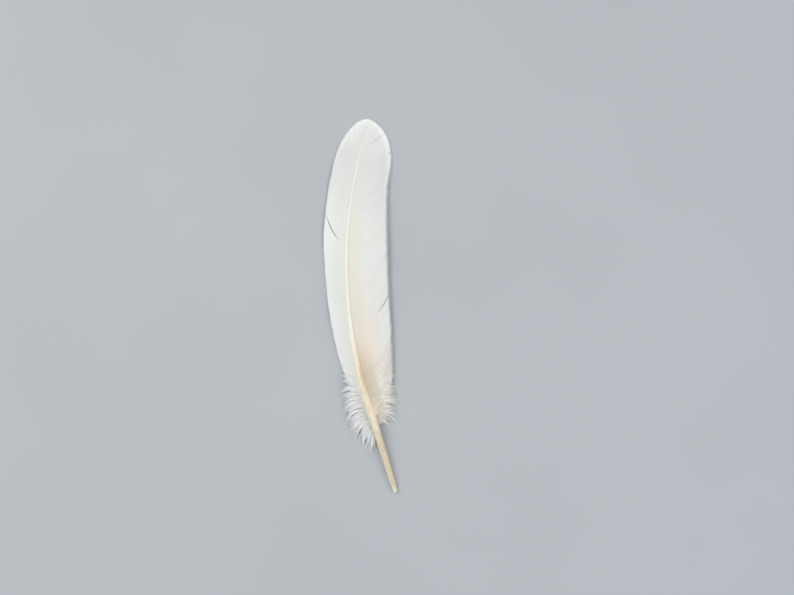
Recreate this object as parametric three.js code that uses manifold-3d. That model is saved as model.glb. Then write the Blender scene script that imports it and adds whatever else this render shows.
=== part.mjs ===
// A goose quill: a white flight feather from the right wing, lying with its upper side up.
// One grown piece. A round quill runs on into a tapering, bowed shaft, and every lock of
// the two vanes and of the down at their foot is joined to that shaft.
// Millimetres. +Y runs from the quill to the tip, +X to the broad vane's side, +Z is up,
// and the origin is on the surface under the middle of the feather.
import * as THREE from "three";
import { LoftGeometry } from "three/addons/geometries/LoftGeometry.js";
import { mergeVertices } from "three/addons/utils/BufferGeometryUtils.js";
import Module from "manifold-3d";

const wasm = await Module();
wasm.setup();

// ---- Driving dimensions. Stations are distances along the shaft from near the quill's end. ----
const QUILL_END = -1.9; // station of the quill's blunt end
const LENGTH = 300.6; // station of the vanes' tip
const SHAFT_END = 294.5; // station where the shaft fades out
const QUILL_STRAIGHT = 75; // the shaft is straight up to here, and bowed beyond
const PLAN_RADIUS = 368; // radius of the bow as seen from above
const QUILL_LEAN = THREE.MathUtils.degToRad(17); // the quill's lean off +Y, towards -X
const QUILL_RISE = Math.tan(THREE.MathUtils.degToRad(5.5)); // the quill climbs off the surface
const QUILL_START_HEIGHT = 2; // the shaft's middle at station 0 and at its tip, above the surface
const TIP_HEIGHT = 0.9;

// Half the shaft's width at each station: a blunt end, a full quill, a long taper.
const SHAFT_HALF_WIDTH = [
  [QUILL_END, 0.95], [-1.3, 1.48], [0, 1.76], [4, 2.02], [8, 2.26], [14, 2.4], [24, 2.55],
  [34, 2.72], [45, 2.92], [62, 3], [75, 2.76], [93, 2.4], [109, 2.08], [124, 1.8], [142, 1.6],
  [165, 1.42], [200, 1.22], [240, 1.02], [277, 0.8], [SHAFT_END, 0.36],
];
const SHAFT_SIDES = 12;
const SHAFT_SQUARING = [60, 110]; // the round quill turns into the squarer shaft between these
const SHAFT_DEEPER = 1.12; // the squared shaft's depth over its width
const SHAFT_SQUARE_POWER = 2.9; // 2 is a circle
const GROOVE_DEPTH = 0.3; // of the half depth, along the underside of the squared shaft
const ATTACH_LEVEL = 0.3; // the vanes leave the shaft this far up its half depth
const ROOT_INSET = 0.45; // and start this far out across its half width, inside the shaft

// Each vane: its outline as [station, width], rounded off to the tip from a station on by a
// superellipse; the slope of its barbs against the shaft as the cotangent at the shaft, what
// that gains at the edge and how late; how its edge lies; and its real splits, each as
// [station where the split meets the shaft, share of the barb where it opens, its gap] and,
// where it shuts again before the edge, the share where it is widest.
const OUTER_VANE = {
  side: -1,
  widths: [[60, 10], [75, 12], [98, 13], [122, 15.2], [150, 16.9], [180, 18.4], [203, 20.2],
    [230, 20.5], [LENGTH, 20.5]],
  roundFrom: 250,
  roundPower: 2.05,
  slope: { atShaft: 0.9, gain: 1.6, power: 2 },
  edgeHeight: 0.5,
  edgeLift: 0,
  camber: 1.45,
  firstRoot: 72,
  locks: 16,
  splits: [[198.7, 0.05, 2.8, 0.78], [113, 0.75, 1.6], [240, 0.8, 1.4]],
};
const INNER_VANE = {
  side: 1,
  widths: [[60, 17], [75, 22], [90, 26], [110, 30], [140, 33], [180, 34], [205, 33],
    [240, 29.6], [262, 27.2], [LENGTH, 27]],
  roundFrom: 262,
  roundPower: 1.97,
  slope: { atShaft: 0.65, gain: 1.75, power: 3.5 },
  edgeHeight: 0.6,
  edgeLift: 2.4,
  camber: 1.6,
  firstRoot: 70,
  locks: 16,
  splits: [[126.8, 0.45, 2.4], [165, 0.72, 3], [212, 0.82, 2.2], [256.5, 0.82, 2.2], [277, 0.1, 0.8]],
};
const TIP_FAN_FROM = 285; // edge station from which the barbs fan round the shaft's end

// A lock is a flat blade with a low ridge along it, in half thicknesses.
const LOCK_RIDGE = 0.36;
const LOCK_THIN = 0.62; // share of that left at the vane's edge
const LOCK_RIM = 0.12;
const LOCK_OVERLAP = 0.3; // neighbours overlap by this much along the shaft and fuse
const LOCK_UNEVEN = 1.6; // how far a lock's root strays from even spacing
const LOCK_PARTING = [0.84, 0.9]; // where neighbours part at the vane's edge, and the gap there
const LOCK_STEPS = 7;

// Down: soft locks at the foot of each vane. They leave the shaft between two stations, and
// their tips follow an outline of [share from the lowest to the highest lock, station, reach].
const DOWN_LOCKS = 15;
const OUTER_DOWN = {
  roots: [46, 82],
  tips: [[0, 36, 8], [0.2, 46, 14.5], [0.4, 56.5, 18.8], [0.7, 74, 19], [1, 97, 14]],
};
const INNER_DOWN = {
  roots: [54, 84],
  tips: [[0, 54.5, 7], [0.2, 58.5, 15], [0.4, 63.5, 21], [0.7, 80.5, 25.5], [1, 104, 26.5]],
};
const DOWN_HALF_WIDTH = 2;
const DOWN_HALF_THICK = 0.45;
const DOWN_TIP_HEIGHT = 1;
const DOWN_HOOK = 6; // how far forward a lock arches before its tip turns back
const DOWN_UNEVEN = 0.16; // the shortest locks fall short of the outline by this share
const DOWN_STRAY = 2.2; // how far a tip strays along the feather
const DOWN_STEPS = 5;

const COLOUR = 0xe9e7e1;

// ---- Helpers ----
const { clamp, lerp, smoothstep } = THREE.MathUtils;

// A smooth value at x through a short list of [x, value] pairs, by a cubic between each two.
function through(pairs, x) {
  const last = pairs.length - 1;
  if (x <= pairs[0][0]) return pairs[0][1];
  if (x >= pairs[last][0]) return pairs[last][1];
  const i = pairs.findIndex(([at]) => at > x) - 1;
  const slopeAt = (k) => {
    const before = pairs[Math.max(k - 1, 0)];
    const after = pairs[Math.min(k + 1, last)];
    return (after[1] - before[1]) / (after[0] - before[0]);
  };
  const [x0, y0] = pairs[i];
  const [x1, y1] = pairs[i + 1];
  const span = x1 - x0;
  const t = (x - x0) / span;
  const leaving = slopeAt(i) * span - (y1 - y0);
  const arriving = slopeAt(i + 1) * span - (y1 - y0);
  return lerp(y0, y1, t) + t * (1 - t) * ((1 - t) * leaving - t * arriving);
}

// ---- The shaft's line: straight, then one arc in plan and one in height ----
const archRun = SHAFT_END - QUILL_STRAIGHT;
const archStart = QUILL_START_HEIGHT + QUILL_STRAIGHT * QUILL_RISE;
const archBend = (archStart + archRun * QUILL_RISE - TIP_HEIGHT) / archRun ** 2;

function heading(station) {
  return Math.max(station - QUILL_STRAIGHT, 0) / PLAN_RADIUS - QUILL_LEAN;
}

function shaftMiddle(station) {
  const straight = Math.min(station, QUILL_STRAIGHT);
  const beyond = station - straight;
  const angle = heading(station);
  return new THREE.Vector3(
    -straight * Math.sin(QUILL_LEAN) + PLAN_RADIUS * (Math.cos(QUILL_LEAN) - Math.cos(angle)),
    straight * Math.cos(QUILL_LEAN) + PLAN_RADIUS * (Math.sin(angle) + Math.sin(QUILL_LEAN)),
    QUILL_START_HEIGHT + station * QUILL_RISE - archBend * beyond ** 2,
  );
}

// The direction across the shaft, level, towards +X.
function across(station) {
  return new THREE.Vector3(Math.cos(heading(station)), -Math.sin(heading(station)), 0);
}

function halfWidth(station) {
  return through(SHAFT_HALF_WIDTH, station);
}

function halfDepth(station) {
  return halfWidth(station) * lerp(1, SHAFT_DEEPER, smoothstep(station, ...SHAFT_SQUARING));
}

// ---- A vane's surface ----
function vaneWidth(vane, station) {
  const toTip = clamp((station - vane.roundFrom) / (LENGTH - vane.roundFrom), 0, 1);
  return through(vane.widths, station) * (1 - toTip ** vane.roundPower) ** (1 / vane.roundPower);
}

// The vane's middle surface at a station and a distance out from the shaft's line: it falls
// from the shaft to the edge, more steeply the further out it goes.
function vanePoint(vane, station, out) {
  const along = Math.min(station, SHAFT_END);
  const root = shaftMiddle(along).z + ATTACH_LEVEL * halfDepth(along);
  const arch = Math.sin(Math.PI * clamp(station / LENGTH, 0, 1));
  const edge = Math.min(vane.edgeHeight + vane.edgeLift * arch, root);
  const share = clamp(out / Math.max(vaneWidth(vane, station), 1e-6), 0, 1);
  const point = shaftMiddle(station).addScaledVector(across(station), vane.side * out);
  point.z = lerp(root, edge, share ** vane.camber);
  return point;
}

// ---- Barbs: the lines that a vane is combed along ----
// How far forward a barb has swept at share t of its width, of 1 in all.
function sweepShare({ slope }, t) {
  const whole = slope.atShaft + slope.gain / (slope.power + 1);
  return (slope.atShaft * t + (slope.gain * t ** (slope.power + 1)) / (slope.power + 1)) / whole;
}

function rootOf(vane, edgeStation) {
  const { slope } = vane;
  const sweep = (slope.atShaft + slope.gain / (slope.power + 1)) * vaneWidth(vane, edgeStation);
  const fan = (LENGTH - SHAFT_END) * smoothstep(edgeStation, TIP_FAN_FROM, LENGTH);
  return edgeStation - sweep - fan;
}

// The edge station that a barb from this root reaches, found by halving.
function edgeOf(vane, root) {
  let low = root;
  let high = LENGTH;
  for (let i = 0; i < 40; i++) {
    const middle = (low + high) / 2;
    if (rootOf(vane, middle) < root) low = middle;
    else high = middle;
  }
  return (low + high) / 2;
}

function barbPoint(vane, root, t) {
  const end = edgeOf(vane, root);
  const inset = ROOT_INSET * halfWidth(Math.min(root, SHAFT_END));
  const station = lerp(root, end, sweepShare(vane, t));
  return vanePoint(vane, station, lerp(inset, vaneWidth(vane, end), t));
}

// ---- Solids ----
// Closes rings of points into one solid. Rings wind anticlockwise seen from the loft's end.
function lofted(rings) {
  const loft = new THREE.BufferGeometry().copy(new LoftGeometry(rings, { capStart: true, capEnd: true }));
  loft.deleteAttribute("normal");
  loft.deleteAttribute("uv");
  const merged = mergeVertices(loft, 1e-4);
  return new wasm.Manifold(new wasm.Mesh({
    numProp: 3,
    vertProperties: merged.attributes.position.array,
    triVerts: new Uint32Array(merged.index.array),
  }));
}

// A ring across a strip: given points from one rim to the other and a half thickness at
// each, it goes out along the top and back along the bottom.
function flatRing(points, thickness, side) {
  const up = points.map((p, i) => p.clone().setZ(p.z + thickness[i]));
  const down = points.map((p, i) => p.clone().setZ(p.z - thickness[i]));
  const ring = [...up, ...down.reverse()];
  return side < 0 ? ring : ring.reverse();
}

// The shaft: rings that turn from round to square with a groove below.
function shaft() {
  const stations = [QUILL_END, QUILL_END + 0.6, 0, 4];
  for (let i = 0; i <= 27; i++) stations.push(lerp(10, SHAFT_END, i / 27));
  return lofted(stations.map((station) => {
    const square = smoothstep(station, ...SHAFT_SQUARING);
    const power = 2 / lerp(2, SHAFT_SQUARE_POWER, square);
    const middle = shaftMiddle(station);
    const sideways = across(station);
    const ring = [];
    for (let i = 0; i < SHAFT_SIDES; i++) {
      const angle = (2 * Math.PI * i) / SHAFT_SIDES;
      const x = Math.sign(Math.cos(angle)) * Math.abs(Math.cos(angle)) ** power;
      const z = Math.sign(Math.sin(angle)) * Math.abs(Math.sin(angle)) ** power;
      const groove = i === (3 * SHAFT_SIDES) / 4 ? 1 - GROOVE_DEPTH * square : 1;
      const point = middle.clone().addScaledVector(sideways, -x * halfWidth(station));
      point.z += z * groove * halfDepth(station);
      ring.push(point);
    }
    return ring;
  }));
}

// How far a lock reaches past a border at share t of the barb, or stays short of it. A
// border is given as a split is.
function reachPast([, opens, gap, widest = 1], t) {
  const open = smoothstep(t, opens, widest) * (1 - smoothstep(t, widest, 1));
  return lerp(LOCK_OVERLAP, -gap / 2, open);
}

// One lock of a vane, between two borders.
function vaneLock(vane, lower, upper) {
  const rings = [];
  for (let step = 0; step <= LOCK_STEPS; step++) {
    const t = step / LOCK_STEPS;
    const low = lower[0] - reachPast(lower, t);
    const high = upper[0] + reachPast(upper, t);
    const points = [0, 0.5, 1].map((w) => barbPoint(vane, Math.min(lerp(low, high, w), SHAFT_END), t));
    const ridge = LOCK_RIDGE * lerp(1, LOCK_THIN, t);
    rings.push(flatRing(points, [LOCK_RIM, ridge, LOCK_RIM], vane.side));
  }
  return lofted(rings);
}

// The borders are nearly evenly spaced, and the one nearest to each real split moves to it.
function vaneLocks(vane) {
  const borders = [];
  for (let k = 0; k <= vane.locks; k++) {
    const stray = k % vane.locks === 0 ? 0 : LOCK_UNEVEN * Math.sin(2.4 * k);
    borders.push([lerp(vane.firstRoot, SHAFT_END, k / vane.locks) + stray, ...LOCK_PARTING]);
  }
  for (const split of vane.splits) {
    const away = borders.map(([root]) => Math.abs(root - split[0]));
    borders[away.indexOf(Math.min(...away))] = split;
  }
  return borders.slice(1).map((border, k) => vaneLock(vane, borders[k], border));
}

// One lock of down: a limp, flat blade that arches forward from the shaft, droops, and turns
// its pointed tip back towards the quill.
function downLock(vane, number, { roots, tips }) {
  const share = number / (DOWN_LOCKS - 1);
  const root = lerp(...roots, share);
  const shorter = 1 - DOWN_UNEVEN * (0.5 + 0.5 * Math.sin(2.6 * number + vane.side));
  const stray = DOWN_STRAY * Math.sin(4.1 * number + vane.side);
  const tipStation = through(tips.map(([at, station]) => [at, station]), share) + stray;
  const tipReach = through(tips.map(([at, , reach]) => [at, reach]), share) * shorter;
  const bendStation = lerp(root, tipStation, 0.5) + DOWN_HOOK;
  const rootHeight = shaftMiddle(root).z;
  const place = (station, out, height) =>
    shaftMiddle(station).addScaledVector(across(station), vane.side * out).setZ(height);
  const line = new THREE.QuadraticBezierCurve3(
    place(root, ROOT_INSET * halfWidth(root), rootHeight),
    place(bendStation, tipReach * 0.62, rootHeight + 0.4),
    place(tipStation, tipReach, DOWN_TIP_HEIGHT),
  );
  const rings = [];
  for (let step = 0; step <= DOWN_STEPS; step++) {
    const t = step / DOWN_STEPS;
    const middle = line.getPoint(t);
    const along = line.getTangent(t);
    const taper = Math.max(Math.sqrt(1 - t ** 2.5), 0.1) * lerp(0.6, 1, smoothstep(t, 0, 0.4));
    const wide = new THREE.Vector3(-along.y, along.x, 0).setLength(vane.side * DOWN_HALF_WIDTH * taper);
    const edges = [middle.clone().sub(wide), middle, middle.clone().add(wide)];
    rings.push(flatRing(edges, [0.1, lerp(DOWN_HALF_THICK, 0.16, t), 0.1], vane.side));
  }
  return lofted(rings);
}

function downLocks(vane, down) {
  return Array.from({ length: DOWN_LOCKS }, (_, k) => downLock(vane, k, down));
}

// ---- The feather ----
const locks = [
  ...vaneLocks(OUTER_VANE),
  ...vaneLocks(INNER_VANE),
  ...downLocks(OUTER_VANE, OUTER_DOWN),
  ...downLocks(INNER_VANE, INNER_DOWN),
];
const joined = locks.reduce((body, lock) => body.add(lock), shaft());
// Locks that cross can shut in a pocket. Only the outer shell is kept, which fills it.
const shells = joined.decompose().sort((a, b) => b.volume() - a.volume());
const whole = shells[0].getMesh();
const geometry = new THREE.BufferGeometry();
geometry.setAttribute("position", new THREE.BufferAttribute(Float32Array.from(whole.vertProperties), 3));
geometry.setIndex(new THREE.BufferAttribute(Uint32Array.from(whole.triVerts), 1));
geometry.computeBoundingBox();

const feather = new THREE.Mesh(
  geometry,
  new THREE.MeshStandardMaterial({ color: COLOUR, roughness: 0.8, metalness: 0 }),
);
feather.name = "feather";
const { min, max } = geometry.boundingBox;
feather.position.set(-(min.x + max.x) / 2, -(min.y + max.y) / 2, -min.z);

const group = new THREE.Group();
group.add(feather);
export default group;
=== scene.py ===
# %% [markdown]
# # A white goose quill, built barb by barb
#
# A flight feather grows as one piece of keratin, the stuff of horn and hair. A hollow
# quill at the foot runs on into a bowed, tapering shaft. Each side of the shaft carries a
# vane: several hundred barbs that lie against each other like the teeth of a comb. At the
# foot of the vanes the barbs never hook together, and they stay loose as down.
#
# This script dresses the plain solid of that feather with its real surfaces. Everything
# is worked out in millimetres along the shaft and is turned to metres at the very end.

# %% Load the solid that this feather stands in for
import bpy
import numpy as np
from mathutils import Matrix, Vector


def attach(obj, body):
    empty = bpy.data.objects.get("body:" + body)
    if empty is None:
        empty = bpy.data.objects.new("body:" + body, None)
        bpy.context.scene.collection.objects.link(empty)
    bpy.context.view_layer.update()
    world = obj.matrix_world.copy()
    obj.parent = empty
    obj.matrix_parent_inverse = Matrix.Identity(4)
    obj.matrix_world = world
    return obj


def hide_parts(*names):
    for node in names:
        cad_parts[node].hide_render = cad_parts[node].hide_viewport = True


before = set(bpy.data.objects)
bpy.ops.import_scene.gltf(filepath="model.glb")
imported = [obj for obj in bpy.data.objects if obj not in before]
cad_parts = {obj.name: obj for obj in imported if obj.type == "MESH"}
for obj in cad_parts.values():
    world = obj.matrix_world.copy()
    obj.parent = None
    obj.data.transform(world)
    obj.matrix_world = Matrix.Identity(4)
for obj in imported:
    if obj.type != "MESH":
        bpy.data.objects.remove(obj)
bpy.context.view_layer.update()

# %% [markdown]
# ## Numbers that describe the feather
#
# A feather is best measured along its shaft. A "station" is the distance along the bow
# from a point close to the quill's end, and "out" is the distance from the shaft's line.
# The same few numbers that shaped the solid are repeated here, so that every surface lies
# where the solid is.

# %% The feather's main sizes, in millimetres
MM = 0.001
QUILL_END = -1.9  # station of the blunt end
LENGTH = 300.6  # station of the vanes' tip
SHAFT_END = 294.5
QUILL_STRAIGHT = 75  # up to this station the shaft's line is straight
PLAN_RADIUS = 368  # of the bow, seen from above
QUILL_LEAN = np.radians(17)
QUILL_RISE = np.tan(np.radians(5.5))
QUILL_START_HEIGHT = 2
TIP_HEIGHT = 0.9
TIP_FAN_FROM = 285  # beyond this station the barbs' ends fan out round the tip
TIP_CROSSING = 0.9  # how far the last barbs reach over each other past the shaft's end
ATTACH_LEVEL = 0.3  # where barbs join the shaft, as a share of its half depth
ROOT_INSET = 0.45  # how far inside the shaft they start, as a share of its half width
SQUARE_FROM, SQUARE_FULL = 60, 110  # between these stations the round quill turns squarer
SHAFT_DEEPER = 0.12  # how much deeper than wide the squarer shaft is
TABLE_LEVEL = 0.24  # heights are counted from just under the table, so it lies at this one
ORIGIN = np.array([27.935, -146.0, -TABLE_LEVEL])  # station 0, in the part's own frame
SHAFT_HALF_WIDTH = [
    [QUILL_END, 0.95], [-1.3, 1.48], [0, 1.76], [4, 2.02], [8, 2.26], [14, 2.4], [24, 2.55],
    [34, 2.72], [45, 2.92], [62, 3], [75, 2.76], [93, 2.4], [109, 2.08], [124, 1.8],
    [142, 1.6], [165, 1.42], [200, 1.22], [240, 1.02], [277, 0.8], [SHAFT_END, 0.36],
]
print("length along the shaft:", LENGTH - QUILL_END, "mm")

# %% [markdown]
# ## Curves and unevenness
#
# A grown thing has no straight edges and no two parts alike. Its outlines could be drawn as
# Bezier curves, but a formula can be asked for thousands of values at once. So a curve is a
# short list of measured pairs with a smooth line through them, and unevenness comes from
# seeded random numbers, which are the same on every run.


# %% Smooth curves from short lists
def through(pairs, x):
    """A smooth value at x from a short list of [x, value] pairs.

    Between two pairs it is a straight line plus t (1 - t) ((1 - t) a - t b), where t runs
    from 0 to 1 and a and b bend it so that it leaves and arrives along its neighbours.
    """
    at, value = np.array(pairs, float).T
    x = np.clip(x, at[0], at[-1])
    before = np.r_[0, 0:len(at) - 1]
    after = np.r_[1:len(at), len(at) - 1]
    slope = (value[after] - value[before]) / (at[after] - at[before])
    i = np.clip(np.searchsorted(at, x, side="right") - 1, 0, len(at) - 2)
    span, rise = at[i + 1] - at[i], value[i + 1] - value[i]
    t = (x - at[i]) / span
    leaving, arriving = slope[i] * span - rise, slope[i + 1] * span - rise
    return value[i] + rise * t + t * (1 - t) * ((1 - t) * leaving - t * arriving)


def ease(x, low, high):
    """0 below low, 1 above high, and 3 t^2 - 2 t^3 between them."""
    t = np.clip((np.asarray(x, float) - low) / (high - low), 0, 1)
    return t * t * (3 - 2 * t)


def drift(x, wavelength, seed):
    """Gentle unevenness from -1 to 1: random values a wavelength apart, joined by ease()."""
    knots = np.random.default_rng(seed).uniform(-1, 1, 2048)
    place = np.asarray(x, float) / wavelength + 900
    i = np.floor(place).astype(int) % 2047
    return knots[i] + (knots[i + 1] - knots[i]) * ease(place % 1, 0, 1)


print("half width of the quill at 50 mm:", round(float(through(SHAFT_HALF_WIDTH, 50)), 2))

# %% [markdown]
# ## The line that the feather follows
#
# Seen from above, the quill is straight and the shaft is one circular arc. Seen from the
# side, the quill climbs off the table and the shaft arches over and down to the tip. A
# feather bows like this because the wing loads it from below.


# %% The shaft's line, and the direction across it
ARCH_RUN = SHAFT_END - QUILL_STRAIGHT
ARCH_START = QUILL_START_HEIGHT + QUILL_STRAIGHT * QUILL_RISE
ARCH_BEND = (ARCH_START + ARCH_RUN * QUILL_RISE - TIP_HEIGHT) / ARCH_RUN**2


def heading(station):
    """The shaft's direction from +Y towards +X, in radians: constant, then growing."""
    return np.maximum(station - QUILL_STRAIGHT, 0) / PLAN_RADIUS - QUILL_LEAN


def shaft_line(station):
    """The shaft's middle: a straight run, then an arc in plan and a parabola in height."""
    station = np.asarray(station, float)
    straight = np.minimum(station, QUILL_STRAIGHT)
    angle = heading(station)
    return np.stack([
        -straight * np.sin(QUILL_LEAN) + PLAN_RADIUS * (np.cos(QUILL_LEAN) - np.cos(angle)),
        straight * np.cos(QUILL_LEAN) + PLAN_RADIUS * (np.sin(angle) + np.sin(QUILL_LEAN)),
        QUILL_START_HEIGHT + station * QUILL_RISE - ARCH_BEND * (station - straight) ** 2,
    ], -1)


def across(station):
    """The level unit vector at right angles to the shaft, towards the broad vane."""
    angle = heading(station)
    return np.stack([np.cos(angle), -np.sin(angle), 0 * angle], -1)


def half_width(station):
    """Half the shaft's width."""
    return through(SHAFT_HALF_WIDTH, station)


def half_depth(station):
    """Half the shaft's depth: as the width on the round quill, 12% more on the shaft."""
    return half_width(station) * (1 + SHAFT_DEEPER * ease(station, SQUARE_FROM, SQUARE_FULL))


def place(station, out, height):
    """The point at a station, a signed distance out and a height."""
    station, out, height = np.broadcast_arrays(station, out, height)
    point = shaft_line(station) + across(station) * out[..., None]
    point[..., 2] = height
    return point


print("top of the shaft's line, mm:", shaft_line(np.arange(0.0, 295))[:, 2].max().round(1))

# %% [markdown]
# ## Skins from rings
#
# Every surface here is a tube of some kind: the shaft is a thick one, a barb is a flat one
# and a strand of down is a very thin one. So one function takes whole arrays of rings and
# skins them, many tubes at a time. It closes both ends, because a closed skin has an
# inside and an outside, and light and print software both need that.


# %% One function that turns rings of points into a closed mesh
SHARP_FROM = np.radians(50)  # an edge that turns by more than this keeps its crease


def skin(name, rings, uv, values=None):
    """Makes one object from rings[tube, step, corner, xyz], given in millimetres.

    Corner j of step k joins corner j + 1 and step k + 1 as a quad, and a polygon closes
    each end. uv[tube, step, corner] is the map, and values holds a number per point.
    """
    tubes, steps, corners, _ = rings.shape
    index = np.arange(tubes * steps * corners).reshape(tubes, steps, corners)
    turned = np.roll(index, -1, axis=2)
    quads = np.stack([index[:, :-1], turned[:, :-1], turned[:, 1:], index[:, 1:]], -1)
    ends = np.concatenate([index[:, 0, ::-1], index[:, -1]])
    mesh = bpy.data.meshes.new(name)
    points = (rings + ORIGIN) * MM
    mesh.from_pydata(points.reshape(-1, 3), [], quads.reshape(-1, 4).tolist() + ends.tolist())
    corner_point = np.empty(len(mesh.loops), np.int32)
    mesh.loops.foreach_get("vertex_index", corner_point)
    layer = mesh.uv_layers.new(name="Along")
    layer.data.foreach_set("uv", uv.reshape(-1, 2)[corner_point].ravel().astype(np.float32))
    for label, value in (values or {}).items():
        spread = np.broadcast_to(value, index.shape).astype(np.float32)
        mesh.attributes.new(label, "FLOAT", "POINT").data.foreach_set("value", spread.ravel())
    mesh.shade_smooth()
    mesh.set_sharp_from_angle(angle=SHARP_FROM)
    mesh.validate()
    piece = bpy.data.objects.new(name, mesh)
    bpy.context.scene.collection.objects.link(piece)
    faces = tubes * ((steps - 1) * corners * 2 + 2 * (corners - 2))
    print(f"{name}: {tubes} closed tubes, {faces} triangles")
    return piece


def belongs(piece, material):
    """The piece moves with the feather, stands for its solid and wears this material."""
    piece.data.materials.append(material)
    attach(piece, "root")
    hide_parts("feather")


print("creases are kept from", round(float(np.degrees(SHARP_FROM))), "degrees")

# %% [markdown]
# ## Helpers for materials
#
# Colours are written as the hex codes that a paint program shows. Blender's shaders want
# linear light, so one function converts them. Another adds a shader node together with
# its settings and links. A third lays one colour over another, as a painter lays a glaze,
# only where some measures of the surface are high or low. That keeps each material short
# enough to read.


# %% Colour and node helpers
def linear(code):
    """An sRGB hex colour as linear red, green, blue and alpha."""
    channel = np.array([int(code[i:i + 2], 16) for i in (1, 3, 5)]) / 255
    low, high = channel / 12.92, ((channel + 0.055) / 1.055) ** 2.4
    return (*np.where(channel <= 0.04045, low, high).tolist(), 1.0)


def add(tree, kind, sockets=None, stops=(), **settings):
    """Adds a node, sets its properties, and gives each named socket a value or a link.

    A colour ramp is also given its stops, as [place, hex colour] pairs.
    """
    node = tree.nodes.new(kind)
    for key, value in settings.items():
        setattr(node, key, value)
    for _ in stops[2:]:
        node.color_ramp.elements.new(0.5)
    for number, (at, code) in enumerate(stops):
        element = node.color_ramp.elements[number]
        element.position, element.color = at, linear(code)
    for key, value in (sockets or {}).items():
        if isinstance(value, bpy.types.NodeSocket):
            tree.links.new(value, node.inputs[key])
        else:
            node.inputs[key].default_value = value
    return node


def glaze(tree, under, colour, strength, *limits):
    """Lays a colour over another by the strength times every share, and returns the mix.

    Each of the limits is (value, low, high), and its share runs from 0 where the value is
    low to 1 where it is high. A fourth number is a least share, in place of 0.
    """
    for value, low, high, *least in limits:
        share = add(tree, "ShaderNodeMapRange", {
            "Value": value, "From Min": low, "From Max": high, "To Min": sum(least)})
        strength = add(tree, "ShaderNodeMath", {0: share.outputs[0], 1: strength},
                       operation="MULTIPLY").outputs[0]
    over = linear(colour) if isinstance(colour, str) else colour
    return add(tree, "ShaderNodeMix", {"Factor": strength, "A": under, "B": over},
               data_type="RGBA").outputs["Result"]


def new_material(name):
    """An empty node material, its tree and its output node."""
    material = bpy.data.materials.new(name)
    material.use_nodes = True
    tree = material.node_tree
    tree.nodes.clear()
    return material, tree, add(tree, "ShaderNodeOutputMaterial")


def finished(material, tree, output, shader):
    """Links the shader to the output, says how big the material is, and returns it."""
    tree.links.new(shader.outputs["BSDF"], output.inputs["Surface"])
    print(f"{material.name}: {len(tree.nodes)} nodes")
    return material


print("white of the barbs in linear light:", np.round(linear("#f0efec")[:3], 3))

# %% [markdown]
# ## The quill and shaft
#
# The quill is a round tube of clear horn, blunt at its end, with a small pit where it was
# fed while it grew. Past the foot of the vanes it turns into the shaft, which is squarer,
# has a groove along its underside and thins out to nothing at the tip. Turning a profile
# on a lathe would give the round part only, so each ring is a superellipse instead:
# power 2 is a circle, and power 3 is nearly a square with round corners.


# %% Rings along the shaft
SHAFT_CORNERS = 44
SHAFT_RINGS = 260
PIT = [[1.5, 0.03], [1.35, 0.3], [0.3, 0.4], [0.0, 0.62]]  # depth, radius: bottom to rim
BLUNT_END = [0.03, 0.2, 0.45, 0.8, 1.3, 2.0, 2.9]  # distances in from the end
BODY_FROM = 3.8  # the evenly spaced rings start this far in
FADE = [[294.9, 0.17], [295.1, 0.04]]  # station and radius of the shaft's very tip
POWER_GAIN = 0.9  # the superellipse goes from power 2 to 2 plus this
GROOVE, CREASE = 0.34, 0.07  # shares of the depth: the cut below and the dent on top
GROOVE_WIDTH, CREASE_WIDTH = 0.34, 0.2  # in radians round the shaft
WALL_SWELL, WALL_FLUTE = 0.012, 0.006  # unevenness of the wall along and round it


def shaft_rings():
    """Rings of x = -w cos(a)^(2/p), z = d sin(a)^(2/p), with p from 2 to 2.9.

    The underside is pulled up in a groove, the top has a faint crease along it, and the
    quill's wall is slightly uneven, as horn is.
    """
    body = np.linspace(0.04, 1, SHAFT_RINGS) ** 1.25 * (SHAFT_END - QUILL_END)
    inward = np.r_[[depth for depth, _ in PIT], BLUNT_END, body[body > BODY_FROM]]
    station = np.r_[QUILL_END + inward, [s for s, _ in FADE]]
    width, depth = half_width(station), half_depth(station)
    width[:len(PIT)] = depth[:len(PIT)] = [r for _, r in PIT]
    width[-2:] = depth[-2:] = [r for _, r in FADE]
    angle = np.linspace(0, 2 * np.pi, SHAFT_CORNERS, endpoint=False)
    square = ease(station, SQUARE_FROM, SQUARE_FULL)[:, None]
    power = 2 / (2 + POWER_GAIN * square)
    below = np.exp(-((angle - 1.5 * np.pi) / GROOVE_WIDTH) ** 2)
    above = np.exp(-((angle - 0.5 * np.pi) / CREASE_WIDTH) ** 2)
    wall = 1 + WALL_SWELL * drift(station, 9, 1)[:, None] + WALL_FLUTE * np.cos(7 * angle + 0.6)
    x = -np.sign(np.cos(angle)) * np.abs(np.cos(angle)) ** power * width[:, None] * wall
    z = np.sign(np.sin(angle)) * np.abs(np.sin(angle)) ** power * depth[:, None] * wall
    z *= 1 - square * (GROOVE * below + CREASE * above)
    middle = shaft_line(station)[:, None, :]
    rings = middle + across(station)[:, None, :] * x[..., None]
    rings[..., 2] += z
    uv = np.stack(np.broadcast_arrays(angle / (2 * np.pi), station[:, None] / LENGTH), -1)
    return rings[None], uv[None], {"flank": -np.cos(angle), "crown": np.sin(angle)}


shaft = skin("quill_and_shaft", *shaft_rings())
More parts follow.
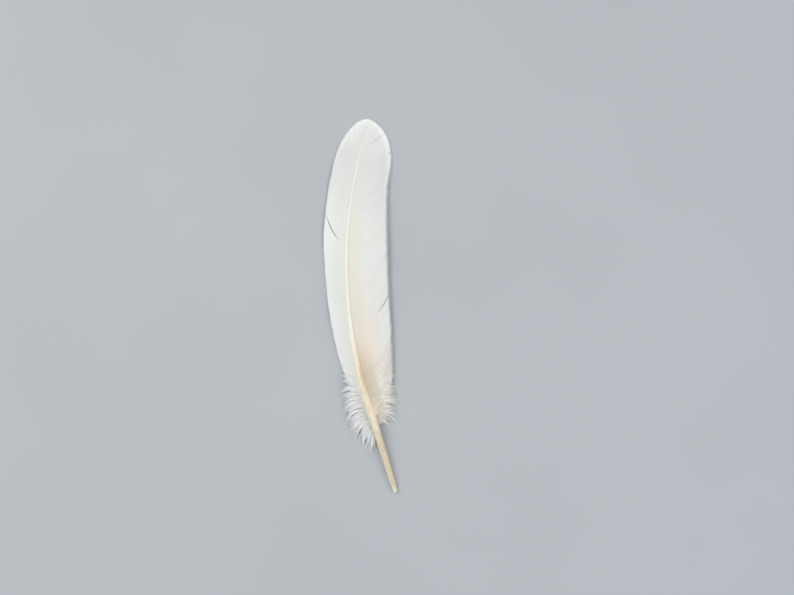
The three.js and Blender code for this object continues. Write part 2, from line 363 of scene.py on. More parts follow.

# %% [markdown]
# ## Horn
#
# The horn of a quill is keratin: satin, slightly see-through, cream where it is thick and
# nearly white where the shaft is filled with pith. Its right flank is painted tan as shade,
# away from the lamp on the left, and low on the quill it is painted lighter as a highlight.
# Its fibres run lengthwise, in streaks about 0.3 mm wide and 12 mm long that draw together
# as the shaft tapers. The bare quill has also taken stains and lost small flakes, and grease
# has seeped in where the down begins. A pattern on the map would show a seam where the map
# closes, so it is laid in three numbers per point instead: flank, crown and the way along.


# %% Horn of the quill, grown and dried
KERATIN_IOR = 1.54
FIBRE_DEPTH, LIGHT_DEPTH = 0.05 * MM, 2 * MM  # of the streaks, and how deep light gets
# Colours along the feather, as shares of its length: of most of the horn, and of the right
# flank, which is painted shade, and from 0.18 to 0.22 a painted highlight.
PALE_HORN = [
    [0.0, "#f3eee0"], [0.025, "#ece3cc"], [0.06, "#e9ddc1"], [0.15, "#e3dabf"],
    [0.18, "#f3ead3"], [0.22, "#faedd1"], [0.3, "#fdf4dc"], [0.42, "#fffcef"],
    [0.62, "#fffcf3"], [0.92, "#fdfdf4"]]
FLANK_SHADING_HORN = [
    [0.0, "#ece5d3"], [0.025, "#e3d8bd"], [0.06, "#dfcfae"], [0.15, "#e2d3b2"],
    [0.18, "#faefda"], [0.22, "#fdeed4"], [0.26, "#f5e2c2"], [0.3, "#eed9b6"],
    [0.36, "#f8e8cc"], [0.42, "#fdf3de"], [0.62, "#faf3e5"], [0.92, "#faf9f0"]]


def horn_of_the_quill():
    """Cream to tan keratin with fine lengthwise streaks, satin, a little translucent.

    The glazes, in order: the right flank's painted shade, with a painted highlight low on
    the quill, fibres, stains, pale veins, pale flakes, and the grease that has seeped in.
    """
    material, tree, output = new_material("quill_horn_satin")
    uv = add(tree, "ShaderNodeUVMap", uv_map="Along").outputs["UV"]
    along = add(tree, "ShaderNodeSeparateXYZ", {"Vector": uv}).outputs["Y"]
    flank = add(tree, "ShaderNodeAttribute", attribute_name="flank").outputs["Fac"]
    crown = add(tree, "ShaderNodeAttribute", attribute_name="crown").outputs["Fac"]
    body = add(tree, "ShaderNodeCombineXYZ", {"X": flank, "Y": crown, "Z": along}).outputs[0]

    def pattern(scale, detail):
        """Noise with so many features across half the shaft and along the whole of it."""
        stretched = add(tree, "ShaderNodeMapping", {"Vector": body, "Scale": scale})
        return add(tree, "ShaderNodeTexNoise", {
            "Vector": stretched.outputs["Vector"], "Scale": 1.0, "Detail": detail,
            "Roughness": 0.6}).outputs["Fac"]

    fibre, stain = pattern((10, 10, 25), 4.0), pattern((1.5, 1.5, 42), 5.0)
    veins, flakes = pattern((4, 4, 9), 2.0), pattern((2.2, 2.2, 150), 3.0)
    pale, tan = (add(tree, "ShaderNodeValToRGB", {"Fac": along}, stops).outputs["Color"]
                 for stops in (PALE_HORN, FLANK_SHADING_HORN))
    bare = (along, 0.4, 0.12, 0.2)  # all of the quill, and a fifth as much on the shaft
    # Painted shade on the right flank, with a painted highlight low on the quill.
    horn = glaze(tree, pale, tan, 1.0, (flank, -0.45, 0.15))
    horn = glaze(tree, horn, "#b99f6c", 0.26, (fibre, 0.4, 0.7), bare)
    horn = glaze(tree, horn, "#c2ac86", 0.62, (stain, 0.44, 0.68), bare)
    horn = glaze(tree, horn, "#efe8d6", 0.4, (veins, 0.5, 0.7), bare)
    horn = glaze(tree, horn, "#f6f2e6", 0.5, (flakes, 0.5, 0.64), bare)
    horn = glaze(tree, horn, "#d8c595", 0.75, (along, 0.275, 0.305), (along, 0.35, 0.325),
                 (flank, -0.15, 0.2), (flank, 0.9, 0.6))
    gloss = add(tree, "ShaderNodeMapRange", {
        "Value": stain, "From Min": 0.3, "From Max": 0.7, "To Min": 0.3, "To Max": 0.46})
    bump = add(tree, "ShaderNodeBump", {"Strength": 0.25, "Distance": FIBRE_DEPTH, "Height": fibre})
    shader = add(tree, "ShaderNodeBsdfPrincipled", {
        "Base Color": horn, "Roughness": gloss.outputs[0], "IOR": KERATIN_IOR,
        "Subsurface Weight": 0.5, "Subsurface Radius": (1.0, 0.8, 0.6),
        "Subsurface Scale": LIGHT_DEPTH, "Normal": bump.outputs["Normal"]})
    return finished(material, tree, output, shader)


belongs(shaft, horn_of_the_quill())

# %% [markdown]
# ## The vanes' outlines and the run of their barbs
#
# A flight feather is lopsided: the vane that meets the wind is narrow and the one behind
# it is broad. Each outline is a short list of widths, rounded off at the tip by a
# superellipse. A barb leaves the shaft steeply and bends towards the tip as it nears the
# margin. Its slope is a cotangent that grows from the shaft outwards, and the distance
# that it sweeps forward is that slope added up over the vane's width.


# %% Outlines, barbs and the surface that they lie on
OUTER = dict(
    side=-1, seed=11, first=60.0, round_from=250, round_power=2.05,
    widths=[[60, 10], [75, 12], [98, 13], [122, 15.2], [150, 16.9], [180, 18.4],
            [203, 20.2], [230, 20.5], [LENGTH, 20.5]],
    slope=(0.9, 1.6, 2), edge_height=0.5, edge_lift=0.0, camber=1.45,
)
INNER = dict(
    side=1, seed=12, first=60.0, round_from=262, round_power=1.97,
    widths=[[60, 17], [75, 22], [90, 26], [110, 30], [140, 33], [180, 34], [205, 33],
            [240, 29.6], [262, 27.2], [LENGTH, 27]],
    slope=(0.65, 1.75, 3.5), edge_height=0.6, edge_lift=2.4, camber=1.6,
)


def vane_width(vane, station):
    """The outline: width at a station, times (1 - t^p)^(1/p) as t runs to the tip."""
    t = np.clip((station - vane["round_from"]) / (LENGTH - vane["round_from"]), 0, 1)
    p = vane["round_power"]
    return through(vane["widths"], station) * (1 - t**p) ** (1 / p)


def surface_height(vane, station, out):
    """Height of the vane: from its root on the shaft down to its edge as share^camber."""
    along = np.minimum(station, SHAFT_END)
    root = shaft_line(along)[..., 2] + ATTACH_LEVEL * half_depth(along)
    lift = vane["edge_lift"] * np.sin(np.pi * np.clip(station / LENGTH, 0, 1))
    edge = np.minimum(vane["edge_height"] + lift, root)
    share = np.clip(out / np.maximum(vane_width(vane, station), 1e-6), 0, 1)
    return root + (edge - root) * share ** vane["camber"]


def barb_run(vane, root, t):
    """Station and distance out at share t of the barb that leaves the shaft at root.

    The station gains (a t + g t^(n+1) / (n+1)) of the vane's width, where a is the
    cotangent at the shaft and g what it gains. Near the tip the barbs fan out instead.
    """
    a, gain, n = vane["slope"]
    whole = a + gain / (n + 1)
    ends = np.linspace(40, LENGTH, 4000)
    fan = (LENGTH - SHAFT_END) * ease(ends, TIP_FAN_FROM, LENGTH)
    roots = ends - whole * vane_width(vane, ends) - fan
    end = np.interp(root, roots, ends)
    sweep = (a * t + gain * t ** (n + 1) / (n + 1)) / whole
    inset = ROOT_INSET * half_width(np.minimum(root, SHAFT_END))
    crossing = TIP_CROSSING * ease(root, SHAFT_END - 5, SHAFT_END) * 4 * t * (1 - t)
    out = inset + (vane_width(vane, end) - inset) * t - crossing
    return root + (end - root) * sweep, out


for vane in (OUTER, INNER):
    reach, width = barb_run(vane, np.array([100.0, 200.0]), np.ones(2))
    print("barbs from 100 and 200 mm end at", reach.round(1), "mm,", width.round(1), "mm out")

# %% [markdown]
# ## Barbs as ribbons
#
# A real barb is a fine rib with two rows of hooked barbules, which zip it to the next
# one. At this size each barb and its barbules read as one flat ribbon with a raised rib,
# laid like a roof tile over its neighbour. Real barbs stand about 0.5 mm apart, and so do
# these. A ribbon is not drawn by hand: its low edge, rib and high edge are three runs of
# the same formula, a little before, at and after its own root. So the ribbons that hook
# together fill the vane without a gap, however the outline bends.
#
# Where a vane has split, the barbs beside the split are pushed apart along the shaft.
# The push fades over a few millimetres, so the neighbours bunch up as they really do.


# %% A ribbon's section, and the splits
BARB_PITCH = 0.52
LOOSE_BELOW = 100  # the station from which the barbs hook together fully
LOOSE_OVER = 26  # they loosen over this length below it
CROWDED_BELOW = 90  # below this station they stand twice as close, as downy barbs do
BARB_STEPS = 26
PAST_THE_END = 1.0001  # just beyond a barb, so that no ease() has an empty span
# Corners of a ribbon's section: shares of the pitch along, and heights in millimetres.
SECTION_ALONG = np.array([-0.52, -0.18, 0.64, 0.64, -0.18, -0.52])
SECTION_HEIGHT = np.array([0.045, 0.13, 0.015, -0.045, -0.075, -0.03])
# Real splits: station at the shaft, share of the barb where it opens, gap in mm along the
# shaft, share where it is widest, how much of it is left at the edge, reach sideways.
SPLITS = {
    "outer": [(196.5, 0.12, 1.15, 0.73, 0.06, 7), (113, 0.78, 1.2, 1, 1, 4),
              (240, 0.84, 0.9, 1, 1, 4), (161, 0.9, 0.8, 1, 1, 3)],
    "inner": [(126.8, 0.5, 1.5, 1, 1, 7), (163.5, 0.75, 1.15, 1, 1, 6),
              (212, 0.85, 1.3, 1, 1, 5), (256.5, 0.86, 1.5, 1, 1, 5),
              (277, 0.05, 0.45, 0.72, 0.12, 4),
              (146, 0.88, 1.0, 1, 1, 4), (186, 0.9, 0.9, 1, 1, 4)],
}


def opened(splits, root, t):
    """How far a barb is pushed along the shaft: half the gap, fading as exp(-away/reach)."""
    push = 0
    for at, opens, gap, widest, left, reach in splits:
        closing = (1 - left) * ease(t, widest, PAST_THE_END)
        shape = ease(t, opens, widest) * (1 - closing)
        away = root - at
        push = push + np.sign(away) * gap / 2 * shape * np.exp(-np.abs(away) / reach)
    return push


print("splits:", {name: len(splits) for name, splits in SPLITS.items()})

# %% [markdown]
# ## Frayed ends and loose barbs
#
# No two barbs end alike. Neighbours that grew together are short together, a notch stands
# here and there, and each differs a little from the next. Low down, where few hooks hold
# them, they also wave, lift off one another and narrow. Each of these is one more term in
# the ribbons' formula, because whole arrays of numbers can take any of them at once.


# %% The ribbons of a vane
# How much shorter barbs get, as shares of their length: neighbours together, in a notch,
# each one alone, the loose ones, and the very lowest.
FRAY_TOGETHER, FRAY_NOTCH, FRAY_SINGLE = 0.012, 0.02, 0.012
FRAY_LOOSE, FRAY_LOWEST = 0.12, 0.5
LOWEST_OVER = 9  # the very lowest barbs are those on this much of the shaft
BLUNT_FROM, BLUNT_FULL = 225, 262  # between these stations the barbs' ends turn blunt
BLUNT_TRIM = 0.6  # how much less a blunt barb is frayed
WAVE, STRAY, STRAY_LOOSE = 1.3, 0.12, 0.7  # mm along the shaft: waves, and each barb's own
TIP_LEFT = 0.12  # share of its width that a barb keeps at its very end
LAST_NARROWING = 0.45  # share that it loses in the last tenth, before the end
LOOSE_TIP, LOOSE_ROOT = 0.15, 0.3  # shares of width that loose barbs lose at tip and root
LIFT_SINGLE, LIFT_BUNCH, LIFT_ROOT = 0.05, 0.1, 0.12  # mm up: alone, in bunches, at the root
SWELL, RIPPLE = 0.5, 0.45  # mm up: the whole vane's swells, and the loose barbs' ripples
LOWEST_BARB = 0.32  # the least height of a barb, just above the table


def vane_ribbons(vane, splits):
    """Rings for every barb of a vane, with its map, and its tone and looseness.

    Barbs near the quill are loose: narrower at the root, wavy and uneven, and the very
    lowest are cut short. All barbs thin out near their ends, and their lengths differ, so
    the margin is frayed. Those at the feather's tip lie along its margin, end bluntly and
    keep a crisp outline.
    """
    rng = np.random.default_rng(vane["seed"])
    seed = vane["seed"] * 10
    crowded = np.arange(vane["first"], CROWDED_BELOW, BARB_PITCH / 2)
    root = np.r_[crowded, np.arange(CROWDED_BELOW, SHAFT_END - 0.1, BARB_PITCH)][:, None, None]
    step = np.linspace(0, 1, BARB_STEPS + 1)[None, :, None]
    count = root.shape[0]
    single = rng.uniform(-1, 1, (count, 1, 1))
    loose = 1 - ease(root, LOOSE_BELOW - LOOSE_OVER, LOOSE_BELOW)
    fray = FRAY_TOGETHER * np.abs(drift(root, 1.3, seed + 1))
    fray = fray + FRAY_NOTCH * ease(drift(root, 5, seed + 2), 0.3, 1)
    fray = fray + FRAY_SINGLE * np.abs(single)
    fray = fray + FRAY_LOOSE * loose * rng.uniform(0, 1, (count, 1, 1))
    lowest = 1 - ease(root, vane["first"], vane["first"] + LOWEST_OVER)
    fray = fray + FRAY_LOWEST * lowest * np.abs(drift(root, 0.4, seed + 8))
    blunt = ease(root, BLUNT_FROM, BLUNT_FULL)
    t = step * (1 - fray * (1 - BLUNT_TRIM * blunt))
    wave = np.sin(6 * t + 5 * drift(root, 3.5, seed + 3)) * t * loose
    stray = (STRAY + STRAY_LOOSE * loose**2) * single * t
    line = root + opened(splits, root, t) + WAVE * wave + stray
    thin = 1 - ease(step, 0.93 + 0.04 * blunt, 1)
    body = 1 - LOOSE_TIP * loose * t
    body = body * (1 - LAST_NARROWING * (1 - blunt) * ease(step, 0.9, 0.97))
    body = body * (TIP_LEFT + (1 - TIP_LEFT) * thin) * (1 - LOOSE_ROOT * loose * (1 - t))
    spread = BARB_PITCH * SECTION_ALONG * body
    station, out = barb_run(vane, np.minimum(line + spread, SHAFT_END - 0.01), t)
    height = surface_height(vane, station, out)
    lift = LIFT_SINGLE * single + LIFT_BUNCH * drift(root, 4.2, seed + 4)
    height = height + lift * t * (0.5 + loose)
    height = height + LIFT_ROOT * single * loose * ease(t, 0, 0.12)
    height = height + SWELL * drift(station, 21, seed + 5) * t**2
    height = height + SECTION_HEIGHT * (0.3 + 0.7 * thin)
    height = height + RIPPLE * loose * t * np.cos(7 * t + 8 * drift(root, 2, seed + 6))
    rings = place(station, vane["side"] * out, np.maximum(height, LOWEST_BARB))
    if vane["side"] > 0:
        rings = rings[:, :, ::-1]
    share = np.broadcast_to(t, station.shape)
    uv = np.stack([share, station / LENGTH], -1)
    tone = 0.5 + 0.3 * drift(root, 2.4, seed + 7) + 0.2 * single
    return rings, uv, {"tone": tone, "loose": loose}


vane_rings = {"outer": vane_ribbons(OUTER, SPLITS["outer"]),
              "inner": vane_ribbons(INNER, SPLITS["inner"])}
outer_vane = skin("outer_vane", *vane_rings["outer"])
inner_vane = skin("inner_vane", *vane_rings["inner"])

# %% [markdown]
# ## White keratin barbs
#
# Nothing in a white feather is dyed. Its barbs are clear keratin full of tiny air
# bubbles, and they scatter all light, so the vane is a matte white with a soft sheen at
# flat angles. A warm, creamy tint lies low down beside the shaft, and right beside the
# shaft a darker, warm tan is painted shade, the shaft's shadow on the vane. Painted
# highlights brighten the margins, and the loose barbs are painted whiter to lift the shade
# between them. A tone that differs from barb to barb gives the fine combed streaks.


# %% The vanes' material
# From darker to lighter barbs, and the warm painted shade that the shaft casts on the vane
# beside it, along the feather.
BARB_TONES = [[0.0, "#ebebe5"], [0.5, "#eeeee9"], [1.0, "#f1f1ed"]]
SHAFT_SHADOW_BARBS = [
    [0.2, "#f3ebdd"], [0.24, "#e2d7c4"], [0.28, "#d2c4af"], [0.32, "#d2c4ae"],
    [0.35, "#d8cab6"], [0.4, "#e8dbca"], [0.45, "#e8e0d2"], [0.55, "#ece5d6"],
    [0.68, "#ede8d8"], [0.79, "#ebe8df"], [0.88, "#e4e3dc"], [0.97, "#efefeb"]]
CLOUDS = 70.0  # per metre, so that a patch of tint is about 14 mm across


def white_barbs(name, warm, margin_highlight, shade_lift_white):
    """Matte white with combed streaks, a tint by the shaft, painted shade and highlights.

    The glazes, in order: a painted highlight on the margin, a greyer end of the feather,
    a painted highlight on the curled margin there, whiter loose barbs in the last colour
    given, painted light that lifts the shade between them, a cream bloom low down, painted
    shade by the shaft, and a few tan strands among the loose ones, painted shade between
    them.
    """
    material, tree, output = new_material(name)
    uv = add(tree, "ShaderNodeUVMap", uv_map="Along").outputs["UV"]
    split = add(tree, "ShaderNodeSeparateXYZ", {"Vector": uv})
    share, along = split.outputs["X"], split.outputs["Y"]
    tone, loose = (add(tree, "ShaderNodeAttribute", attribute_name=label).outputs["Fac"]
                   for label in ("tone", "loose"))
    cloud = add(tree, "ShaderNodeTexNoise", {
        "Vector": add(tree, "ShaderNodeTexCoord").outputs["Object"], "Scale": CLOUDS,
        "Detail": 3.0}).outputs["Fac"]
    white, shaft_shadow = (add(tree, "ShaderNodeValToRGB", {"Fac": factor}, stops).outputs["Color"]
                   for factor, stops in ((tone, BARB_TONES), (along, SHAFT_SHADOW_BARBS)))
    # Painted highlight along the margin, strongest on the narrow vane facing the left lamp.
    white = glaze(tree, white, "#fcfcfb", margin_highlight, (share, 0.25, 1.0))
    white = glaze(tree, white, "#dededb", 0.6, (along, 0.7, 0.88), (along, 1.0, 0.9))
    # Painted highlight on the curled margin near the tip.
    white = glaze(tree, white, "#fafaf8", 1.0, (share, 0.84, 0.97), (along, 0.72, 0.86))
    # Painted light: loose barbs are whitened to lift the shade that falls between them.
    white = glaze(tree, white, shade_lift_white, 0.9, (loose, 0.0, 1.0), (share, 0.15, 0.45))
    white = glaze(tree, white, "#f7e8d6", warm, (share, 0.78, 0.42), (along, 0.6, 0.36),
                  (along, 0.25, 0.39), (cloud, 0.1, 0.7))
    # Painted shade: the shaft's warm shadow on the vane right beside it.
    white = glaze(tree, white, shaft_shadow, 0.9 * warm, (share, 0.45, 0.12))
    # Painted shade: tan lines among the loose barbs, where shade falls between them.
    white = glaze(tree, white, "#cba983", 0.85 * warm, (tone, 0.5, 0.3), (loose, 0.0, 1.0),
                  (cloud, 0.36, 0.52), (share, 0.08, 0.3))
    shader = add(tree, "ShaderNodeBsdfPrincipled", {
        "Base Color": white, "Roughness": 0.62, "IOR": KERATIN_IOR,
        "Specular IOR Level": 0.35, "Sheen Weight": 0.12, "Sheen Roughness": 0.5})
    return finished(material, tree, output, shader)


# Tint and painted shade strength, painted margin highlight, painted white of loose barbs.
narrow_white = white_barbs("white_barbs_narrow_vane", 0.15, 0.9, "#ffffff")
broad_white = white_barbs("white_barbs_broad_vane", 1.0, 0.15, "#fffdf5")
belongs(outer_vane, narrow_white)
belongs(inner_vane, broad_white)

# %% [markdown]
# ## Down
#
# The lowest barbs have no hooks. Each is a limp rib with long soft barbules all along it,
# like a bottle brush, and neighbours cling together in tufts that droop and turn back
# towards the quill. Hair particles would vanish from an exported mesh, so a rib is a thin
# flat tube and a barbule is a three-sided one. Real barbules are about 0.02 mm thick, and
# there are thousands on each rib. These are four to five times as thick and fewer, so that
# they still show, and the rib is widened to stand for the part that is too dense to count.


# %% Tubes along lines
def unit(vectors):
    """Vectors scaled to length 1."""
    return vectors / np.maximum(np.linalg.norm(vectors, axis=-1, keepdims=True), 1e-9)


def beside(ahead):
    """Level unit vectors at right angles to the given directions."""
    return unit(np.cross(ahead, [0.0, 0.0, 1.0]) + 1e-6)


def with_map(rings, rng, share=None):
    """Rings with a map, a random tone for each, and its share of the way along a rib."""
    tubes, steps, corners, _ = rings.shape
    along = np.broadcast_to(np.linspace(0, 1, steps)[None, :, None], (tubes, steps, corners))
    around = np.broadcast_to(np.linspace(0, 1, corners), (tubes, steps, corners))
    share = along if share is None else share.reshape(-1, 1, 1)
    return rings, np.stack([around, along], -1), {
        "tone": rng.uniform(0, 1, (tubes, 1, 1)), "share": share}


def tubes_along(points, wide, thick, angles, roll=0.0):
    """Rings round lines points[line, step, xyz]: corners at angles, wide across, thick up.

    A corner is the line's point + side wide cos(a) + upward thick sin(a), where side and
    upward are first rolled round the line.
    """
    ahead = unit(np.gradient(points, axis=1))
    level = beside(ahead)
    roll = np.broadcast_to(roll, points.shape[:1])[:, None, None]
    side = level * np.cos(roll) + np.cross(level, ahead) * np.sin(roll)
    upward = np.cross(side, ahead)
    a = np.radians(angles)[:, None]
    wide, thick = (np.broadcast_to(v, points.shape[:2])[..., None, None] for v in (wide, thick))
    sideways = side[:, :, None] * np.cos(a) * wide
    return points[:, :, None] + sideways + upward[:, :, None] * np.sin(a) * thick


print("a level side of a line along +Y:", beside(np.array([0.0, 1.0, 0.0])).round(2))

# %% [markdown]
# ## Barbules
#
# Under a lens a downy rib carries fine threads on both sides, all the way to its tip. They
# stand off widely near the shaft and close up towards the tip. There are thousands and
# each is about as thin as a hair, so three points and three corners are enough for one.


# %% Barbules along any line
BARBULE_RADIUS = [0.052, 0.045, 0.018]  # at its base, middle and tip, in mm
BARBULES_FROM, BARBULES_TO, JITTER = 0.06, 0.998, 0.005  # shares of the line's length
LEAN, LEAN_CLOSES, LEAN_SCATTER = 62, 32, 9  # degrees from the line
DROOP = [0.0, 0.0, 0.12]
LOWEST_THREAD = 0.4  # the least height of a thread's middle line, in mm


def barbules(line, rng, per_line, longest):
    """Short curved threads along both sides of each line, leaning towards its tip.

    Each is a base on the line, a middle half its reach away along the lean, and a tip that
    turns further ahead and droops. The lean closes from 62 to 30 degrees along the line.
    """
    count = line.shape[0]
    at = np.linspace(BARBULES_FROM, BARBULES_TO, per_line)[None]
    at = at + rng.uniform(-JITTER, JITTER, (count, per_line))
    step = np.clip(at, 0, 0.9999) * (line.shape[1] - 1)
    i = step.astype(int)
    row = np.arange(count)[:, None]
    part = (step - i)[..., None]
    base = line[row, i] * (1 - part) + line[row, i + 1] * part
    ahead = unit(line[row, i + 1] - line[row, i])
    side = beside(ahead)
    upward = np.cross(side, ahead)
    hand = np.where(np.arange(per_line) % 2, 1.0, -1.0)
    roll = rng.normal(0, 0.5, at.shape)
    outward = side * np.cos(roll)[..., None] + upward * np.sin(roll)[..., None]
    outward = hand[None, :, None] * outward
    lean = LEAN - LEAN_CLOSES * at + rng.normal(0, LEAN_SCATTER, at.shape)
    lean = np.radians(lean)[..., None]
    reach = longest * (0.4 + 0.6 * np.sin(np.pi * np.minimum(at * 0.95 + 0.08, 1)))
    reach = (reach * rng.uniform(0.55, 1.15, at.shape))[..., None]
    out = ahead * np.cos(lean) + outward * np.sin(lean)
    middle = base + out * reach * 0.5
    tip = middle + unit(out * 0.75 + ahead * 0.55 - DROOP) * reach * 0.5
    threads = np.stack([base, middle, tip], 2).reshape(-1, 3, 3)
    threads[..., 2] = np.maximum(threads[..., 2], LOWEST_THREAD)
    rings = tubes_along(threads, BARBULE_RADIUS, BARBULE_RADIUS, (90, 210, 330))
    return with_map(rings, rng, at)


print("barbules are", 2000 * BARBULE_RADIUS[0], "thousandths of a millimetre thick at the base")

# %% [markdown]
# ## Tufts
#
# Handled down clings together in pointed tufts, with single ribs astray between them. A
# path that only knew its root and its direction would never meet its neighbours. So the
# tips are what is given here: a short list of where they lie on each side, from the lowest
# to the highest. Nearly half of the ribs share the tip of a tuft, and the rest are strays.


# %% Paths of the ribs on both sides
TUFTS = 15
RIBS_PER_TUFT = 6
STRAY_RIBS = 108
RIB_STEPS = 24
LOWEST_RIB = 0.5  # the least height of a rib's middle line, in mm
TIP_SCATTER, STRAY_SCATTER = 1.4, 1.1  # mm along: every tip's, and what strays add
TUFT_SWING = 0.9  # mm along, so that the tufts are not evenly spaced
SWAY = 0.55  # mm sideways at the tip of a rib
ROOT_DROP, BEND_DROP = 0.6, 0.4  # mm below the shaft's line: roots, and paths' bends
BEND_AHEAD, BEND_OUT = 7, 0.7  # mm up the shaft, and share of the way out
RIB_TIP_HEIGHT = 1.8
STRAY_SHORTER = (0.02, 0.4)  # shares of its length that a stray rib may lack
# Where the ribs leave the shaft, and their tips: share of the way up, station, distance out.
# A few ribs have escaped from the tufts and hang lower, and they are given in the same way.
OUTER_DOWN = dict(side=-1, seed=21, roots=(46, 86), tips=[
    [0, 36, 8], [0.2, 46, 15], [0.4, 56.5, 19.8], [0.7, 74, 19.5], [1, 97, 14]],
    escaped=[[0.1, 38, 11], [0.3, 47.5, 18]])
INNER_DOWN = dict(side=1, seed=22, roots=(53, 88), tips=[
    [0, 53, 6], [0.2, 57.5, 14.5], [0.4, 63, 21], [0.7, 80, 25.5], [1, 104, 27]],
    escaped=[[0.16, 47, 12], [0.27, 48, 18.1], [0.32, 53.5, 18.5]])


def down_ribs(down, rng):
    """Lines of the ribs: a bent path from the shaft over a raised middle to a low tip.

    Each is P0 (1-t)^2 + 2 P1 t (1-t) + P2 t^2, like a tossed thread, plus a wave that
    grows towards the tip. Ribs of one tuft share its tip, give or take 2 mm, and the rest
    stray anywhere between the tufts, or have escaped to a tip of their own.
    """
    escaped = np.array(down["escaped"])
    gathered = np.repeat(np.arange(TUFTS), RIBS_PER_TUFT)
    astray = rng.uniform(0, TUFTS - 1, STRAY_RIBS)
    tuft = np.r_[gathered, astray, escaped[:, 0] * (TUFTS - 1)]
    tufted = (np.arange(len(tuft)) < TUFTS * RIBS_PER_TUFT).astype(float)
    side, scatter = down["side"], rng.normal(0, 1, (6, len(tuft)))
    share = np.clip((tuft + rng.uniform(-0.7, 0.7, len(tuft))) / (TUFTS - 1), 0, 1)
    share_up, station, distance = np.array(down["tips"]).T
    tip_at = through(np.stack([share_up, station], -1), tuft / (TUFTS - 1))
    tip_out = through(np.stack([share_up, distance], -1), tuft / (TUFTS - 1))
    short = rng.uniform(*STRAY_SHORTER, len(tuft))
    shorter = 1 - tufted * 0.1 * (1 + np.sin(2.6 * tuft + side)) / 2 - (1 - tufted) * short
    tip_out = tip_out * shorter * (1.03 - 0.1 * np.abs(scatter[0]))
    tip_at = tip_at + tufted * TUFT_SWING * np.sin(4.1 * tuft + side)
    tip_at = tip_at + (TIP_SCATTER + STRAY_SCATTER * (1 - tufted)) * scatter[1]
    tip_at[-len(escaped):], tip_out[-len(escaped):] = escaped[:, 1:].T
    low, high = down["roots"]
    root = low + (high - low) * share + 0.5 * scatter[2]
    level = shaft_line(root)[:, 2]
    start = place(root, side * ROOT_INSET * half_width(root), level - ROOT_DROP)
    bend = place((root + tip_at) / 2 + BEND_AHEAD + 1.6 * scatter[3],
                 side * tip_out * BEND_OUT, level - BEND_DROP + 0.8 * scatter[4] - 1.6 * share)
    tip = place(tip_at, side * tip_out, RIB_TIP_HEIGHT + 0.7 * scatter[5])
    t = np.linspace(0, 1, RIB_STEPS + 1)[None, :, None]
    line = start[:, None] * (1 - t) ** 2 + 2 * bend[:, None] * t * (1 - t) + tip[:, None] * t**2
    phase = rng.uniform(0, 2 * np.pi, (len(tuft), 1))
    curl = rng.normal(1.0, 0.8, (len(tuft), 1)) * ease(t[..., 0], 0.65, 1) ** 2
    sway = SWAY * np.sin(8 * t[..., 0] + phase) * t[..., 0] - side * curl
    line = line + sway[..., None] * beside(np.gradient(line, axis=1))
    line[..., 2] = np.maximum(line[..., 2], LOWEST_RIB)
    return line


print("ribs on each side:", TUFTS * RIBS_PER_TUFT + STRAY_RIBS, "and a few that escaped")

# %% [markdown]
# ## Ribs, threads and fringe
#
# The ribs, their barbules and the fringe are separate pieces, so that none gets too heavy.
# The fringe is the down's barbules once more, on the barbs just above it: they have lost
# their hooks but still lie in the vane, and without threads they would look like paper.


# %% Down and fringe
BARBULES_PER_RIB = 64
FRINGE_PER_BARB = 48
LONGEST_BARBULE, LONGEST_FRINGE = 2.6, 1.8  # mm
RIB_WIDTH = 0.3  # half width of a rib where it is widest, in mm


def down_side(name, down):
    """One side's down as two pieces: the ribs, and all of their barbules.

    A rib's half width grows from a fifth to the whole and then fades almost to a point.
    """
    rng = np.random.default_rng(down["seed"])
    line = down_ribs(down, rng)
    t = np.linspace(0, 1, line.shape[1])
    wide = RIB_WIDTH * (0.2 + 0.8 * ease(t, 0.1, 0.55)) * (1 - 0.93 * ease(t, 0.5, 1))
    rings = tubes_along(line, wide, 0.04 + 0.1 * wide, (0, 90, 180, 270),
                        rng.normal(0, 0.35, len(line)))
    ribs = skin(name, *with_map(rings, rng))
    threads = skin(name + "_threads", *barbules(line, rng, BARBULES_PER_RIB, LONGEST_BARBULE))
    return ribs, threads


def loose_fringe(name, rings, seed):
    """Threads along the loose barbs, whose middle lines are the means of their rings."""
    rng = np.random.default_rng(seed)
    crowded = int((CROWDED_BELOW - OUTER["first"]) / (BARB_PITCH / 2))
    hooked_from = crowded + int((LOOSE_BELOW - CROWDED_BELOW) / BARB_PITCH)
    line = rings[:hooked_from, 2:].mean(axis=2)
    return skin(name, *barbules(line, rng, FRINGE_PER_BARB, LONGEST_FRINGE))


left_down = [*down_side("outer_down", OUTER_DOWN),
             loose_fringe("outer_vane_fringe", vane_rings["outer"][0], 31)]
right_down = [*down_side("inner_down", INNER_DOWN),
              loose_fringe("inner_vane_fringe", vane_rings["inner"][0], 32)]

# %% [markdown]
# ## Soft white down
#
# Down is the same keratin as the vanes, but its threads are so fine that no face is large
# enough to shine. So it is rougher and has less gloss, and only the roots are tinted.
# Real threads also let light through. These are thicker than real ones, and a shader that
# lets light through made them darker, so it was left out.


# %% The down's material
def soft_down(name, root, low, high):
    """White keratin threads, too fine to have a gloss, tinted root where they start."""
    material, tree, output = new_material(name)
    tone, share = (add(tree, "ShaderNodeAttribute", attribute_name=label).outputs["Fac"]
                   for label in ("tone", "share"))
    white = add(tree, "ShaderNodeValToRGB", {"Fac": tone}, [[0.0, low], [1.0, high]])
    white = glaze(tree, white.outputs["Color"], root, 1.0, (share, 0.5, 0.05))
    shader = add(tree, "ShaderNodeBsdfPrincipled", {
        "Base Color": white, "Roughness": 0.8, "IOR": KERATIN_IOR,
        "Specular IOR Level": 0.2, "Sheen Weight": 0.1, "Sheen Roughness": 0.6})
    return finished(material, tree, output, shader)


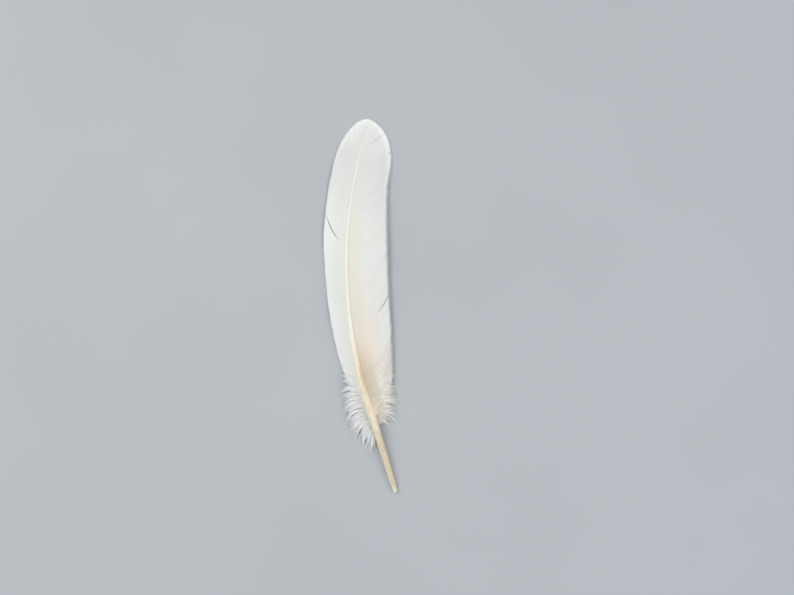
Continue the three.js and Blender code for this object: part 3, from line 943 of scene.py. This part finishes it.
cool_down = soft_down("soft_white_down", "#fbf9f3", "#fefefd", "#ffffff")
warm_down = soft_down("soft_cream_down", "#f7eddc", "#fdf8ee", "#fffefb")
for piece in left_down:
    belongs(piece, cool_down)
for piece in right_down:
    belongs(piece, warm_down)

# %% [markdown]
# ## Table
#
# White shows its form only against something darker and with light from one side. So the
# feather lies on a table of pale grey paint, which is far larger than the picture, and is
# matte, so that no lamp shows in it.


# %% Table
TABLE_REACH = 6.0  # metres from its middle to each side


def table_top():
    """A plain grey sheet under the feather, matte, with a barely visible mottle."""
    material, tree, output = new_material("pale_grey_table_paint")
    cloud = add(tree, "ShaderNodeTexNoise", {
        "Vector": add(tree, "ShaderNodeTexCoord").outputs["Object"], "Scale": 6.0,
        "Detail": 2.0}).outputs["Fac"]
    grey = add(tree, "ShaderNodeValToRGB", {"Fac": cloud}, [[0.3, "#b9bdc1"], [0.7, "#bdc1c5"]])
    shader = add(tree, "ShaderNodeBsdfPrincipled", {
        "Base Color": grey.outputs["Color"], "Roughness": 0.85, "Specular IOR Level": 0.2})
    mesh = bpy.data.meshes.new("table")
    corners = TABLE_REACH * np.array([[-1, -1, 0], [1, -1, 0], [1, 1, 0], [-1, 1, 0]])
    mesh.from_pydata(corners, [], [(0, 1, 2, 3)])
    mesh.materials.append(finished(material, tree, output, shader))
    table = bpy.data.objects.new("table", mesh)
    bpy.context.scene.collection.objects.link(table)


table_top()

# %% [markdown]
# ## Lamps
#
# One lamp alone would leave the far side of the bowed vane dull, and two equal ones would
# flatten the barbs. So the lamp on the left is a little smaller and stronger, the one on
# the right is wider and softer, and an even sky lightens every shadow.


# %% Lights and sky
def lamp(name, where, size, watts, code):
    """A square soft lamp that points at the middle of the feather."""
    data = bpy.data.lights.new(name, "AREA")
    data.shape, data.size, data.energy, data.color = "SQUARE", size, watts, linear(code)[:3]
    holder = bpy.data.objects.new(name, data)
    bpy.context.scene.collection.objects.link(holder)
    holder.location = where
    holder.rotation_euler = (-Vector(where)).to_track_quat("-Z", "Y").to_euler()
    print(f"{name}: {watts} W, {size} m wide, {holder.location.length:.2f} m away")


lamp("window_left", (-1.2, 0.4, 1.6), 1.3, 17, "#fffdf8")
lamp("fill_right", (1.5, -0.5, 1.6), 1.8, 16, "#fdfcfd")
world = bpy.data.worlds.new("pale_sky")
bpy.context.scene.world = world
world.use_nodes = True
SKY_COLOUR, SKY_STRENGTH = "#e9edf2", 0.62
sky = world.node_tree.nodes["Background"].inputs
sky["Color"].default_value, sky["Strength"].default_value = linear(SKY_COLOUR), SKY_STRENGTH
bpy.context.scene.view_settings.view_transform = "Standard"

# %% [markdown]
# ## Camera
#
# A short lens close by would enlarge the arched middle of the feather against its ends. So
# the camera hangs 1.5 m above it with the long lens that then frames it. The focal length
# is the sensor's width times the distance over the width that the picture takes in.

# %% Camera, straight above
FRAME_WIDTH = 0.6265  # how much of the table the picture takes in, in metres
CAMERA_HEIGHT = 1.5  # over the feather's middle level
MIDDLE_LEVEL = 0.006
SENSOR_WIDTH = 36
AIM = (np.array([1.53, 152.6, 0]) + ORIGIN) * MM
camera_data = bpy.data.cameras.new("camera")
camera_data.sensor_width = SENSOR_WIDTH
camera_data.lens = SENSOR_WIDTH * CAMERA_HEIGHT / FRAME_WIDTH
camera = bpy.data.objects.new("camera", camera_data)
bpy.context.scene.collection.objects.link(camera)
camera.location = (AIM[0], AIM[1], CAMERA_HEIGHT + MIDDLE_LEVEL)
bpy.context.scene.camera = camera
print("lens:", round(camera_data.lens, 1), "mm")
